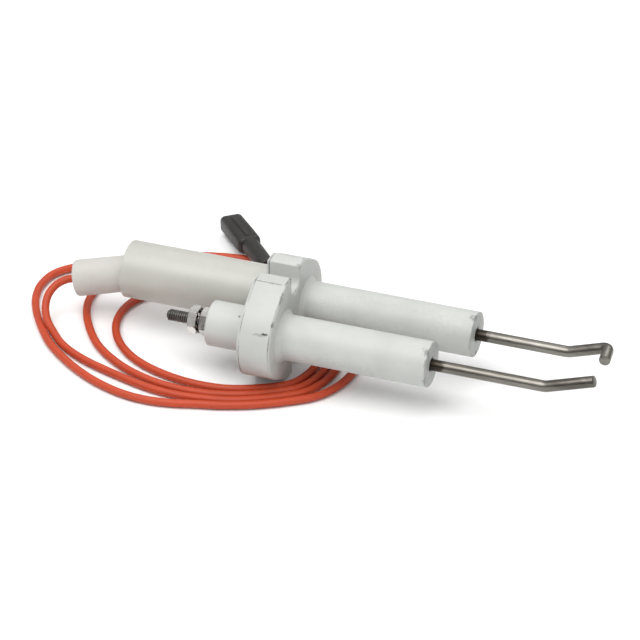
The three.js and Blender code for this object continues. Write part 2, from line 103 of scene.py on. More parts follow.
# %% Lead route
LEAD_ROUTE = [
    (-85.04, 7.28, 14.0), (-88.4, 6.4, 13.2), (-91.4, 4.4, 11.6), (-93.2, 1.2, 9), (-92.8, -2.7, 6),
    (-90.4, -6.8, 3.5), (-86, -11.3, 1.9), (-81.8, -15.6, 1.5), (-76.4, -19.6, 1.5),
    (-69.7, -23.2, 1.5), (-62, -26.2, 1.5), (-54.3, -28.8, 1.5), (-47.7, -30.8, 1.5),
    (-39.8, -32.6, 1.5), (-31.6, -33.2, 1.5), (-23, -32.4, 1.5), (-12, -29.9, 1.5),
    (0.5, -23.5, 1.5), (9.6, -16.2, 1.5), (13.9, -6, 1.5), (14.3, 6, 1.5), (10.8, 20, 1.5),
    (2.5, 32, 1.5), (-9, 40.6, 1.5), (-25, 45, 1.5), (-45, 45.8, 1.5), (-65, 43.8, 1.5),
    (-82, 40.3, 1.5), (-94.6, 34.4, 1.5),
    (-101.6, 26.6, 1.5), (-103.2, 17.8, 1.5), (-101.6, 9.2, 1.5), (-98.2, 1.4, 1.5),
    (-93.4, -6.4, 1.5),
    (-85.2, -17.2, 1.5), (-74.3, -26.6, 1.5), (-65.5, -32.3, 1.5), (-57.2, -36.2, 1.5),
    (-48.6, -38.8, 1.5), (-40, -39.6, 1.5), (-31.5, -38.6, 1.5), (-23.5, -36.4, 1.5),
    (-15.2, -34.3, 1.5), (-5.4, -30.5, 1.5), (4.8, -24.8, 1.5), (14.2, -17.5, 1.5), (19.2, -8, 1.5),
    (20.8, 3, 1.5), (19, 15, 1.5), (13.6, 27, 1.5), (4.5, 37.5, 1.5), (-7.5, 48, 1.5),
    (-22, 55.8, 1.5), (-38, 58.8, 1.5), (-54, 56.4, 1.5), (-66, 50.6, 2.3), (-74, 43.6, 4.7),
    (-79, 36.4, 4.2), (-82.2, 28.6, 2.2),
    (-83.6, 21, 1.5), (-83, 13, 1.5), (-80.4, 5, 1.5), (-75.6, -3.8, 1.5), (-69.3, -12.2, 1.5),
    (-61.4, -19, 1.5), (-51.8, -24.6, 1.5), (-39.9, -28.4, 1.5), (-27, -29.4, 1.5), (-14, -26.9, 1.5),
    (-1.5, -20.7, 1.5), (6.8, -14.4, 1.5), (10.4, -5, 1.5), (10.8, 7, 1.5), (7, 20, 1.5),
    (-2.5, 30.5, 1.5), (-13, 36, 1.5), (-27, 38.5, 1.5), (-42, 38, 1.5), (-55, 33, 1.5),
    (-64, 25.4, 1.5),
    (-68.6, 16.6, 1.5), (-69.1, 7, 1.5), (-66.6, -1.8, 1.5), (-61.4, -9.8, 1.5), (-53.6, -16.6, 1.5),
    (-43, -21.6, 1.5), (-30, -24.4, 1.5), (-17.5, -23.9, 1.5), (-7, -20.0, 1.5), (2.9, -13.5, 1.5),
    (6.6, -5, 1.5), (6.8, 7, 1.5), (2.6, 20, 1.8), (-5.4, 28.8, 3.4), (-12, 33.4, 5.2),
    (-18.2, 36.8, 7), (-22.6, 39.6, 8.3), (-25.7, 42.7, 8.95), (-28.11, 46.07, 8.98),
]
LEAD_R = 1.4
# The lead leaves along the boot's own line, which droops and turns a little from the sleeve's axis.
BOOT_DROOP = math.radians(12)
BOOT_YAW = math.radians(10)
BOOT_DIRECTION = Vector((
    -math.cos(BOOT_DROOP) * math.cos(BOOT_YAW),
    -math.cos(BOOT_DROOP) * math.sin(BOOT_YAW),
    -math.sin(BOOT_DROOP)))
SLEEVE_LIFT = 0.3
BOOT_PIVOT = Vector((-60, SPARK_Y, AXIS_Z + SLEEVE_LIFT))
BOOT_WALL = 19.7
BOOT_TIP = 25.7


def along_boot(distance):
    return BOOT_PIVOT + BOOT_DIRECTION * distance


def smooth_line(points, steps):
    """Centripetal Catmull-Rom line through the points, with that many steps from each to the next."""
    points = [Vector(point) for point in points]
    ends = [2 * points[0] - points[1], *points, 2 * points[-1] - points[-2]]
    line = []
    for before, start, end, after in zip(ends, ends[1:], ends[2:], ends[3:]):
        d0 = math.sqrt((start - before).length)
        d1 = math.sqrt((end - start).length)
        d2 = math.sqrt((after - end).length)
        leave = ((start - before) / d0 - (end - before) / (d0 + d1) + (end - start) / d1) * d1
        arrive = ((end - start) / d1 - (after - start) / (d1 + d2) + (after - end) / d2) * d1
        for step in range(steps):
            t = step / steps
            line.append(
                start + leave * t + (3 * (end - start) - 2 * leave - arrive) * t * t
                + (2 * (start - end) + leave + arrive) * t ** 3)
    line.append(points[-1])
    return line


def line_length(line):
    return sum((b - a).length for a, b in zip(line, line[1:]))


# %% Lead curve
def lead_curve(name, line, radius=LEAD_R):
    """A round lead along a line of points in millimetres from the flange's front face."""
    data = bpy.data.curves.new(name, "CURVE")
    data.dimensions = "3D"
    data.bevel_depth = radius * MM
    data.bevel_resolution = 6
    data.use_fill_caps = True
    spline = data.splines.new("POLY")
    spline.points.add(len(line) - 1)
    for spot, point in zip(spline.points, line):
        spot.co = (*at(*point), 1)
    spline.use_smooth = True
    piece = bpy.data.objects.new(name, data)
    bpy.context.scene.collection.objects.link(piece)
    return piece


# Two points inside the boot hide the start of the free lead.
free_line = [along_boot(BOOT_WALL), along_boot(22.5)] + smooth_line(LEAD_ROUTE, 7)
free_lead = lead_curve("free_lead", free_line)

# %% [markdown]
# ## Shared helpers for solid pieces
# Ceramic tubes, nuts and sleeves are made on lathes or in dies, so a profile turned round an axis gives
# each one its true shape. Every helper puts the place in the mesh and leaves the object at the origin.

# %% Mesh helpers
def add_mesh(name, verts, faces, material=None, sharp=38):
    """A finished mesh object with outward faces, smooth but for edges sharper than the angle."""
    mesh = bpy.data.meshes.new(name)
    mesh.from_pydata([tuple(vert) for vert in verts], [], faces)
    shell = bmesh.new()
    shell.from_mesh(mesh)
    bmesh.ops.remove_doubles(shell, verts=shell.verts, dist=1e-7)
    bmesh.ops.recalc_face_normals(shell, faces=shell.faces)
    shell.to_mesh(mesh)
    shell.free()
    mesh.shade_smooth()
    mesh.set_sharp_from_angle(angle=math.radians(sharp))
    if material:
        mesh.materials.append(material)
    piece = bpy.data.objects.new(name, mesh)
    bpy.context.scene.collection.objects.link(piece)
    return piece


def soften(corners, size, steps=4):
    """A closed profile whose corners are each replaced by a small curve that starts size away."""
    profile = []
    for i, corner in enumerate(corners):
        here = Vector(corner)
        before = Vector(corners[i - 1])
        after = Vector(corners[(i + 1) % len(corners)])
        start = here + (before - here).normalized() * min(size, (before - here).length * 0.45)
        end = here + (after - here).normalized() * min(size, (after - here).length * 0.45)
        for step in range(steps + 1):
            t = step / steps
            profile.append(start * (1 - t) ** 2 + here * 2 * t * (1 - t) + end * t * t)
    return profile


def ring_faces(rings, sides, closed=True):
    """Quads between each ring of vertices and the next, and back to the first when closed."""
    faces = []
    for i in range(rings if closed else rings - 1):
        j = (i + 1) % rings
        for k in range(sides):
            m = (k + 1) % sides
            faces.append((i * sides + k, i * sides + m, j * sides + m, j * sides + k))
    return faces


def lathe(profile, origin, direction=(1, 0, 0), sides=96):
    """Vertices and faces of a closed profile of (along, radius) turned round a line, in millimetres."""
    direction = Vector(direction).normalized()
    side = direction.cross(Vector((0, 0, 1))).normalized()
    up = side.cross(direction)
    verts = []
    for along, radius in profile:
        for k in range(sides):
            angle = 2 * math.pi * k / sides
            spoke = side * math.cos(angle) + up * math.sin(angle)
            verts.append(at(*(Vector(origin) + direction * along + spoke * radius)))
    return verts, ring_faces(len(profile), sides)


GROUND_AXIS = (0, GROUND_Y, AXIS_Z)
SPARK_AXIS = (0, SPARK_Y, AXIS_Z)

# %% [markdown]
# ## Shared finishes
# Several materials need the same effects: fine mottling, a worn band along the part's length, a ragged
# spot of dirt, a chip or painted shade, and a thin broken line round a rim. Each is a shader node group
# with named inputs, built once, so that every material places it with its own values.

# %% Node group helpers
def shader_group(name, inputs, outputs):
    group = bpy.data.node_groups.new(name, "ShaderNodeTree")
    for label, kind, value in inputs:
        socket = group.interface.new_socket(label, in_out="INPUT", socket_type=kind)
        if value is not None:
            socket.default_value = value
    for label, kind in outputs:
        group.interface.new_socket(label, in_out="OUTPUT", socket_type=kind)
    return group, group.nodes.new("NodeGroupInput"), group.nodes.new("NodeGroupOutput")


def feed(tree, socket, value):
    """Links a source into the socket, or sets the socket to a plain value or colour."""
    if isinstance(value, bpy.types.NodeSocket):
        tree.links.new(value, socket)
    elif socket.type == "RGBA":
        socket.default_value = (*value, 1)
    else:
        socket.default_value = value


def node(tree, kind, inputs=None, **settings):
    """A node with its settings, and with each named input fed by a source or a value."""
    made = tree.nodes.new(kind)
    for key, value in settings.items():
        setattr(made, key, value)
    for key, value in (inputs or {}).items():
        feed(tree, made.inputs[key], value)
    return made


def reckon(tree, operation, *terms):
    """The result of one math operation on sources and numbers."""
    return node(tree, "ShaderNodeMath", dict(enumerate(terms)), operation=operation).outputs[0]


def fade(tree, source, low, high, start=0.0, end=1.0):
    """A smooth change from start to end while the source goes from low to high."""
    return node(tree, "ShaderNodeMapRange", {
        "Value": source, "From Min": low, "From Max": high, "To Min": start, "To Max": end},
        interpolation_type="SMOOTHSTEP").outputs["Result"]


def noise(tree, place, scale, detail, roughness=0.5):
    """Cloudy noise between 0 and 1, around one half."""
    return node(tree, "ShaderNodeTexNoise", {
        "Vector": place, "Scale": scale, "Detail": detail, "Roughness": roughness}).outputs["Fac"]


# %% Mottle group
mottle_group, inside, outside = shader_group(
    "mottle",
    [("Vector", "NodeSocketVector", None), ("Scale", "NodeSocketFloat", 300.0),
     ("Contrast", "NodeSocketFloat", 0.2)],
    [("Value", "NodeSocketFloat"), ("Height", "NodeSocketFloat")])
place = inside.outputs["Vector"]
broad = noise(mottle_group, place, inside.outputs["Scale"], 5.0, 0.6)
fine_scale = reckon(mottle_group, "MULTIPLY", inside.outputs["Scale"], 9.0)
grain = noise(mottle_group, place, fine_scale, 3.0, 0.7)
centred = reckon(mottle_group, "SUBTRACT", broad, 0.5)
scaled = reckon(mottle_group, "MULTIPLY_ADD", centred, inside.outputs["Contrast"], 1.0)
feed(mottle_group, outside.inputs["Value"], scaled)
feed(mottle_group, outside.inputs["Height"], grain)

# %% Band group
band_group, inside, outside = shader_group(
    "band",
    [("Vector", "NodeSocketVector", None), ("Full At", "NodeSocketFloat", 0.0),
     ("Gone At", "NodeSocketFloat", 0.01), ("Ragged", "NodeSocketFloat", 0.002)],
    [("Mask", "NodeSocketFloat")])
place = inside.outputs["Vector"]
parts = node(band_group, "ShaderNodeSeparateXYZ", {"Vector": place})
centred = reckon(band_group, "SUBTRACT", noise(band_group, place, 420.0, 4.0), 0.5)
shift = reckon(band_group, "MULTIPLY_ADD", centred, inside.outputs["Ragged"], parts.outputs["X"])
mask = fade(band_group, shift, inside.outputs["Gone At"], inside.outputs["Full At"])
feed(band_group, outside.inputs["Mask"], mask)

# %% Spot group
spot_group, inside, outside = shader_group(
    "spot",
    [("Vector", "NodeSocketVector", None), ("Centre", "NodeSocketVector", (0.0, 0.0, 0.0)),
     ("Stretch", "NodeSocketVector", (1.0, 1.0, 1.0)), ("Radius", "NodeSocketFloat", 0.002),
     ("Ragged", "NodeSocketFloat", 1.0)],
    [("Mask", "NodeSocketFloat")])
place = inside.outputs["Vector"]
away = node(spot_group, "ShaderNodeVectorMath", {0: place, 1: inside.outputs["Centre"]},
            operation="SUBTRACT")
shaped = node(spot_group, "ShaderNodeVectorMath", {0: away.outputs[0], 1: inside.outputs["Stretch"]},
              operation="MULTIPLY")
size = node(spot_group, "ShaderNodeVectorMath", {0: shaped.outputs[0]}, operation="LENGTH")
ratio = reckon(spot_group, "DIVIDE", size.outputs["Value"], inside.outputs["Radius"])
centred = reckon(spot_group, "SUBTRACT", noise(spot_group, place, 900.0, 4.0), 0.5)
edge = reckon(spot_group, "MULTIPLY_ADD", centred, inside.outputs["Ragged"], ratio)
feed(spot_group, outside.inputs["Mask"], fade(spot_group, edge, 1.0, 0.35))

# %% Seam group
seam_group, inside, outside = shader_group(
    "seam",
    [("Vector", "NodeSocketVector", None), ("At", "NodeSocketFloat", 0.0),
     ("Half Width", "NodeSocketFloat", 0.0003), ("Broken", "NodeSocketFloat", 0.5)],
    [("Mask", "NodeSocketFloat")])
place = inside.outputs["Vector"]
parts = node(seam_group, "ShaderNodeSeparateXYZ", {"Vector": place})
offset = reckon(seam_group, "SUBTRACT", parts.outputs["X"], inside.outputs["At"])
ratio = reckon(seam_group, "DIVIDE", reckon(seam_group, "ABSOLUTE", offset),
               inside.outputs["Half Width"])
patchy = fade(seam_group, noise(seam_group, place, 130.0, 5.0, 0.65), inside.outputs["Broken"], 0.72)
mask = reckon(seam_group, "MULTIPLY", fade(seam_group, ratio, 1.0, 0.3), patchy)
feed(seam_group, outside.inputs["Mask"], mask)
print("node groups:", [group.name for group in bpy.data.node_groups])


# %% Material helpers
def blank_material(name):
    material = bpy.data.materials.new(name)
    material.use_nodes = True
    tree = material.node_tree
    place = tree.nodes.new("ShaderNodeTexCoord")
    return material, tree, tree.nodes["Principled BSDF"], place.outputs["Object"]


def use_group(tree, group, place, **values):
    """The group placed in a material, with its inputs named by words joined with underscores."""
    made = node(tree, "ShaderNodeGroup", node_tree=group)
    feed(tree, made.inputs["Vector"], place)
    for key, value in values.items():
        feed(tree, made.inputs[key.replace("_", " ")], value)
    return made


def blend(tree, mask, low, high):
    """low where the mask is 0 and high where it is 1; each is a colour or a source."""
    return node(tree, "ShaderNodeMix", {0: mask, 6: low, 7: high}, data_type="RGBA").outputs[2]


def weaken(tree, mask, amount):
    """A mask that reaches only that amount."""
    return reckon(tree, "MULTIPLY", mask, amount)


def roughen(tree, shader, height, distance, strength):
    bump = node(tree, "ShaderNodeBump", {
        "Height": height, "Distance": distance, "Strength": strength})
    feed(tree, shader.inputs["Normal"], bump.outputs["Normal"])


# %% [markdown]
# ### Ceramic
# The body is unglazed steatite: nearly white with a faint cold grey, matt, and marked by handling. Smudges
# gather at the tube ends and the flange's notches. Other dark spots are painted shade: inside the bores
# round the rods, and low on the near sides of the ground tube and the flange. One function makes the
# ceramic of each piece, with its own list of bands, spots and seams, so the stains and the painted shade
# fall where that piece needs them.

# %% Ceramic material
CERAMIC_PALE = (0.50, 0.512, 0.49)
CERAMIC_SHADE = (0.385, 0.395, 0.377)
# One dark colour for both the dirt spots and the painted shade spots.
DIRT_AND_SHADE = (0.055, 0.05, 0.045)


def ceramic(name, bands=(), spots=(), seams=()):
    """Unglazed ceramic; bands are (full at, gone at, strength, tint), spots (centre, radius, stretch,
    strength, raggedness) and seams (at, half width, brokenness, strength)."""
    material, tree, shader, place = blank_material(name)
    mottle = use_group(tree, mottle_group, place, Scale=70.0, Contrast=1.4)
    colour = blend(tree, weaken(tree, fade(tree, mottle.outputs["Value"], 0.75, 1.3), 0.35),
                   CERAMIC_PALE, CERAMIC_SHADE)
    for full, gone, strength, tint in bands:
        band = use_group(tree, band_group, place, Full_At=(FRONT + full) * MM,
                         Gone_At=(FRONT + gone) * MM, Ragged=0.0015)
        colour = blend(tree, weaken(tree, band.outputs["Mask"], strength), colour, tint)
    for centre, radius, stretch, strength, ragged in spots:
        spot = use_group(tree, spot_group, place, Centre=tuple(at(*centre)), Stretch=stretch,
                         Radius=radius * MM, Ragged=ragged)
        colour = blend(tree, weaken(tree, spot.outputs["Mask"], strength), colour, DIRT_AND_SHADE)
    for where, half_width, broken, strength in seams:
        seam = use_group(tree, seam_group, place, At=(FRONT + where) * MM,
                         Half_Width=half_width * MM, Broken=broken)
        colour = blend(tree, weaken(tree, seam.outputs["Mask"], strength), colour, DIRT_AND_SHADE)
    feed(tree, shader.inputs["Base Color"], colour)
    feed(tree, shader.inputs["Roughness"], fade(tree, mottle.outputs["Height"], 0.2, 0.8, 0.42, 0.58))
    roughen(tree, shader, mottle.outputs["Height"], 0.00005, 0.5)
    return material


GROUND_TIP = 53.2
SPARK_TIP = 61.8
END_GREY = (0.34, 0.35, 0.33)
flange_ceramic = ceramic("flange_ceramic", seams=[
    (-11.1, 0.32, 0.30, 0.85),
    (-0.5, 0.34, 0.36, 0.8),
], spots=[
    ((0.1, -4.4, 37.4), 1.5, (1, 1, 0.8), 0.55, 1.6),
    ((-0.4, 4.6, 37.7), 1.4, (1, 1, 1), 0.35, 1.6),
    ((-0.4, -22.4, 29.6), 1.2, (2.2, 0.8, 0.8), 0.85, 1.5),
    ((-2.2, -24.8, 27.0), 1.25, (0.8, 2.2, 2.2), 1.0, 1.3),
    ((-4.2, -25.0, 26.6), 1.8, (0.6, 2.4, 2.4), 0.35, 1.8),
    ((-6, -9.5, 38.15), 0.42, (0.055, 1, 1), 0.5, 1.6),
    ((-6, 9.5, 38.15), 0.36, (0.055, 1, 1), 0.35, 1.6),
    ((-0.3, -7.0, 38.1), 0.4, (1, 0.12, 1), 0.5, 1.6),
    ((-0.3, -14.5, 35.4), 0.5, (1, 0.12, 0.16), 0.55, 1.6),
    ((0.1, -3.6, 33.0), 1.0, (1, 2, 0.5), 0.45, 1.5),
    # Painted shade: a faint darkening low on the near lobe, by the floor.
    ((-9, -16, 3.5), 3.5, (0.6, 1, 1), 0.14, 1.5),
])
ground_ceramic = ceramic("ground_tube_ceramic", bands=[
    (GROUND_TIP - 0.1, GROUND_TIP - 0.5, 0.8, END_GREY),
    (-26.3, -25.7, 0.5, END_GREY),
], seams=[(GROUND_TIP - 0.35, 0.4, 0.5, 0.4)], spots=[
    ((GROUND_TIP - 0.1, GROUND_Y - 3.6, AXIS_Z + 6.6), 1.9, (0.7, 1, 1), 0.55, 2.2),
    ((GROUND_TIP - 0.1, GROUND_Y - 6.9, AXIS_Z - 2.5), 1.7, (1.2, 1, 0.6), 0.3, 2.4),
    # Painted shade inside the front bore and round the rod where it leaves the tube.
    ((GROUND_TIP + 0.2, GROUND_Y, AXIS_Z), 3.2, (0.4, 1, 1), 0.5, 0.8),
    ((-14.9, GROUND_Y - 3.8, AXIS_Z + 7.0), 0.75, (1, 1, 1), 0.75, 1.3),
    # Painted shade: a long faint darkening along the lower near side of the tube.
    ((20, GROUND_Y - 6, AXIS_Z - 4), 5, (0.2, 1, 1), 0.10, 1.4),
    # Painted shade inside the rear bore and round it, where the inner nut sits against the tube.
    ((-26.4, GROUND_Y, AXIS_Z), 4.5, (0.4, 1, 1), 0.35, 1.6),
])
spark_ceramic = ceramic("spark_tube_ceramic", bands=[
    (SPARK_TIP - 0.1, SPARK_TIP - 0.5, 0.8, END_GREY),
], seams=[(SPARK_TIP - 0.35, 0.4, 0.5, 0.4)], spots=[
    ((SPARK_TIP, SPARK_Y - 1.5, AXIS_Z + 7.8), 1.9, (0.7, 1, 1), 0.55, 2.2),
    ((SPARK_TIP, SPARK_Y - 1.0, AXIS_Z - 7.8), 2.1, (0.8, 1, 1), 0.55, 2.2),
    ((SPARK_TIP - 3.5, SPARK_Y - 4.6, AXIS_Z - 6.2), 1.2, (1, 1, 1), 0.3, 2.0),
    # Painted shade inside the front bore and round the rod where it leaves the tube.
    ((SPARK_TIP + 0.2, SPARK_Y, AXIS_Z), 3.2, (0.4, 1, 1), 0.5, 0.8),
    ((30, SPARK_Y - 5.5, AXIS_Z + 5), 6, (0.18, 1, 1), 0.08, 1.4),
])
cement = ceramic("cement")
cement.node_tree.nodes["Principled BSDF"].inputs["Roughness"].default_value = 0.8
print("ceramics:", [made.name for made in (flange_ceramic, ground_ceramic, spark_ceramic, cement)])

# %% [markdown]
# ### Metals
# The rods are heat-resisting steel, drawn, so their grain runs along them, and the first millimetres out
# of the ceramic are oxidised dark. The nuts are bright zinc plate; the ground stud's toothed washer is
# coloured dark as painted shade between its two nuts.

# %% Metal materials
def metal(name, pale, dark, rough, scale, bands=(), stretch=(1, 1, 1), bump=0.00004):
    """Metal mottled from its pale colour to its dark one; bands are as on the ceramic."""
    material, tree, shader, place = blank_material(name)
    mapping = node(tree, "ShaderNodeMapping", {"Vector": place, "Scale": stretch})
    mottle = use_group(tree, mottle_group, mapping.outputs["Vector"], Scale=scale, Contrast=2.0)
    colour = blend(tree, fade(tree, mottle.outputs["Value"], 0.6, 1.5), pale, dark)
    roughness = fade(tree, mottle.outputs["Height"], 0.25, 0.8, rough - 0.07, rough + 0.1)
    for full, gone, strength, tint in bands:
        band = use_group(tree, band_group, place, Full_At=(FRONT + full) * MM,
                         Gone_At=(FRONT + gone) * MM, Ragged=0.004)
        colour = blend(tree, weaken(tree, band.outputs["Mask"], strength), colour, tint)
    feed(tree, shader.inputs["Base Color"], colour)
    feed(tree, shader.inputs["Roughness"], roughness)
    feed(tree, shader.inputs["Metallic"], 1.0)
    roughen(tree, shader, mottle.outputs["Height"], bump, 0.6)
    return material


OXIDE = (0.045, 0.038, 0.03)


def rod_steel(name, tube_tip):
    """Drawn steel, dark with oxide for the first millimetres in front of its tube."""
    return metal(name, (0.26, 0.247, 0.222), (0.09, 0.082, 0.07), 0.33, 190,
                 bands=[(tube_tip + 3.6, tube_tip + 5.2, 1.0, OXIDE)], stretch=(0.12, 1, 1))


ground_steel = rod_steel("ground_rod_steel", GROUND_TIP)
spark_steel = rod_steel("spark_rod_steel", SPARK_TIP)
stud_steel = metal("stud_steel", (0.17, 0.165, 0.155), (0.09, 0.085, 0.08), 0.38, 200, bump=0.00001)
zinc = metal("zinc_plate", (0.74, 0.72, 0.69), (0.46, 0.44, 0.42), 0.24, 120, bump=0.000003)
# The ground stud's lock washer is coloured dark as painted shade between its two nuts; the hidden spark
# one stays zinc.
washer_steel_painted_shade = metal("washer_steel_painted_shade", (0.16, 0.15, 0.14), (0.07, 0.065, 0.06), 0.30, 150, bump=0.000003)
tinned = metal("tinned_brass", (0.66, 0.62, 0.54), (0.42, 0.39, 0.33), 0.30, 300)

# %% [markdown]
# ### Soft goods
# The sleeve is thin translucent silicone, yellowish grey, with the gloss of an extruded tube. The boot is
# paler rubber, dull to the touch. The lead's insulation is matt orange silicone.

# %% Rubber and plastic materials
def dull(name, pale, dark, rough, scale=120, coat=0.0):
    """Rubber or plastic, half mottled from its pale colour to its dark one."""
    material, tree, shader, place = blank_material(name)
    mottle = use_group(tree, mottle_group, place, Scale=scale, Contrast=1.6)
    mask = weaken(tree, fade(tree, mottle.outputs["Value"], 0.6, 1.4), 0.5)
    feed(tree, shader.inputs["Base Color"], blend(tree, mask, pale, dark))
    roughness = fade(tree, mottle.outputs["Height"], 0.25, 0.8, rough - 0.06, rough + 0.08)
    feed(tree, shader.inputs["Roughness"], roughness)
    feed(tree, shader.inputs["Coat Weight"], coat)
    feed(tree, shader.inputs["Coat Roughness"], 0.3)
    roughen(tree, shader, mottle.outputs["Height"], 0.00004, 0.5)
    return material


sleeving = dull("sleeve_silicone", (0.475, 0.475, 0.437), (0.415, 0.415, 0.377), 0.42, coat=0.15)
boot_rubber = dull("boot_rubber", (0.52, 0.505, 0.475), (0.45, 0.437, 0.41), 0.58)
orange = dull("lead_silicone", (0.49, 0.052, 0.010), (0.38, 0.036, 0.007), 0.55, scale=90)
charcoal = dull("connector_nylon", (0.015, 0.0135, 0.0115), (0.009, 0.008, 0.007), 0.50, scale=200)
for material in (sleeving, boot_rubber):
    shader = material.node_tree.nodes["Principled BSDF"]
    shader.inputs["Subsurface Weight"].default_value = 0.12
    shader.inputs["Subsurface Scale"].default_value = 0.002
    shader.inputs["Subsurface Radius"].default_value = (1.0, 0.8, 0.6)
free_lead.data.materials.append(orange)

# %% [markdown]
# ## Flange
# It is pressed in one die: two round lobes round the tubes, a boss above and below, and a U notch in
# each boss for a clamping screw. Modelling it from circles and cutters would work too; drawing its outline
# once, filling it round the two bores and extruding it keeps the edges even, and one bevel rounds them.

# %% Flange outline
FLANGE_THICK = 12
LOBE_R = 15.3
BOSS_TOP = 19.1
BOSS_SIDE = 9.5
NOTCH_R = 3.95
NOTCH_FLOOR = 10.65
BORE_R = 8.0


def arc(centre, radius, start, end, steps):
    """Points round a centre from one angle to another, both ends kept."""
    return [(centre[0] + radius * math.cos(start + (end - start) * i / steps),
             centre[1] + radius * math.sin(start + (end - start) * i / steps))
            for i in range(steps + 1)]


def flange_outline():
    """One closed outline in (across, up), round the middle between the two tubes."""
    lean = SPARK_Y - BOSS_SIDE
    tangent = math.atan2(BOSS_TOP, lean) + math.acos(LOBE_R / math.hypot(lean, BOSS_TOP))
    notch_centre = NOTCH_FLOOR + NOTCH_R
    outline = arc((SPARK_Y, 0), LOBE_R, tangent - math.pi, math.pi - tangent, 64)
    outline += [(BOSS_SIDE, BOSS_TOP), (NOTCH_R, BOSS_TOP)]
    outline += arc((0, notch_centre), NOTCH_R, 0, -math.pi, 24)
    outline += [(-NOTCH_R, BOSS_TOP), (-BOSS_SIDE, BOSS_TOP)]
    outline += arc((GROUND_Y, 0), LOBE_R, tangent, 2 * math.pi - tangent, 64)
    outline += [(-BOSS_SIDE, -BOSS_TOP), (-NOTCH_R, -BOSS_TOP)]
    outline += arc((0, -notch_centre), NOTCH_R, math.pi, 0, 24)
    outline += [(NOTCH_R, -BOSS_TOP), (BOSS_SIDE, -BOSS_TOP)]
    return outline


# %% Flange body
def loop_edges(shell, points, x):
    """A closed loop of edges through points (across, up) at that distance along the part."""
    verts = [shell.verts.new(at(x, across, AXIS_Z + up)) for across, up in points]
    return [shell.edges.new((a, b)) for a, b in zip(verts, verts[1:] + verts[:1])]


shell = bmesh.new()
edges = loop_edges(shell, flange_outline(), -FLANGE_THICK)
for across in (GROUND_Y, SPARK_Y):
    edges += loop_edges(shell, arc((across, 0), BORE_R, 0, 2 * math.pi, 64)[:-1], -FLANGE_THICK)
filled = bmesh.ops.triangle_fill(shell, use_beauty=True, use_dissolve=False, edges=edges)
back = [item for item in filled["geom"] if isinstance(item, bmesh.types.BMFace)]
raised = bmesh.ops.extrude_face_region(shell, geom=back)
lifted = [item for item in raised["geom"] if isinstance(item, bmesh.types.BMVert)]
bmesh.ops.translate(shell, verts=lifted, vec=(FLANGE_THICK * MM, 0, 0))
bmesh.ops.recalc_face_normals(shell, faces=shell.faces)
flange_mesh = bpy.data.meshes.new("flange")
shell.to_mesh(flange_mesh)
shell.free()
flange = bpy.data.objects.new("flange", flange_mesh)
bpy.context.scene.collection.objects.link(flange)
rounding = flange.modifiers.new("rounding", "BEVEL")
rounding.width = 0.6 * MM
rounding.segments = 4
rounding.limit_method = "ANGLE"
rounding.angle_limit = math.radians(20)


def settle(piece):
    """The piece with its modifiers turned into plain mesh."""
    bpy.context.view_layer.update()
    depsgraph = bpy.context.evaluated_depsgraph_get()
    mesh = bpy.data.meshes.new_from_object(
        piece.evaluated_get(depsgraph), preserve_all_data_layers=True, depsgraph=depsgraph)
    piece.modifiers.clear()
    piece.data = mesh
    return piece


settle(flange)
flange.data.materials.append(flange_ceramic)
flange.data.shade_smooth()
flange.data.set_sharp_from_angle(angle=math.radians(24))
print("flange", len(flange.data.polygons), "faces,",
      [round(size / MM, 1) for size in flange.dimensions], "mm")

# %% [markdown]
# ## Tubes, cement and sleeve
# All are turned shapes. A profile with softened corners, spun round the tube's axis, gives the small
# radius at each rim that catches the light.

# %% Turned ceramics
def ring_piece(name, axis, x0, x1, outer, inner, material, size=0.45):
    """A tube from x0 to x1 along an axis, with its four rims rounded by about that size."""
    profile = soften([(x0, inner), (x0, outer), (x1, outer), (x1, inner)], size)
    verts, faces = lathe(profile, axis, sides=128)
    return add_mesh(name, verts, faces, material)


TUBE_R = 7.95
TUBE_BORE_R = 2.3
TUBE_REAR = -26.4
ground_tube = ring_piece("ground_tube", GROUND_AXIS, TUBE_REAR, GROUND_TIP, TUBE_R, TUBE_BORE_R,
                         ground_ceramic)
spark_tube = ring_piece("spark_tube", SPARK_AXIS, TUBE_REAR, SPARK_TIP, TUBE_R, TUBE_BORE_R,
                        spark_ceramic)


def cement_ring(name, axis, side):
    """The fillet of cement round a tube, in front of the flange (side 1) or behind it (side -1)."""
    face = -0.05 if side > 0 else -FLANGE_THICK + 0.05
    profile = [(face, 7.9), (face, 9.55), (face + side * 0.35, 9.2), (face + side * 0.8, 8.6),
               (face + side * 1.25, 8.25), (face + side * 1.8, 8.0), (face + side * 1.8, 7.9)]
    verts, faces = lathe(profile, axis)
    return add_mesh(name, verts, faces, cement, sharp=60)


ground_cement_front = cement_ring("ground_cement_front", GROUND_AXIS, 1)
ground_cement_rear = cement_ring("ground_cement_rear", GROUND_AXIS, -1)
spark_cement_front = cement_ring("spark_cement_front", SPARK_AXIS, 1)
SLEEVE_AXIS = (0, SPARK_Y, AXIS_Z + SLEEVE_LIFT)
sleeve = ring_piece("sleeve", SLEEVE_AXIS, -66.2, -12.1, 10.2, 8.6, sleeving, size=0.4)
print("spark tube", [round(size / MM, 1) for size in spark_tube.dimensions], "mm")

# %% [markdown]
# ## Boot
# The rubber boot plugs the sleeve's rear and grips the lead. Its far end is closed but for a hole a
# little wider than the lead, with a thick rounded rim.

# %% Boot
boot_profile = soften(
    [(-5, 4.6), (-5, 6.45), (BOOT_TIP, 6.45), (BOOT_TIP, 1.6), (BOOT_WALL, 1.6), (BOOT_WALL, 4.6)],
    0.9, steps=6)
verts, faces = lathe(boot_profile, BOOT_PIVOT, BOOT_DIRECTION)
boot = add_mesh("boot", verts, faces, boot_rubber)

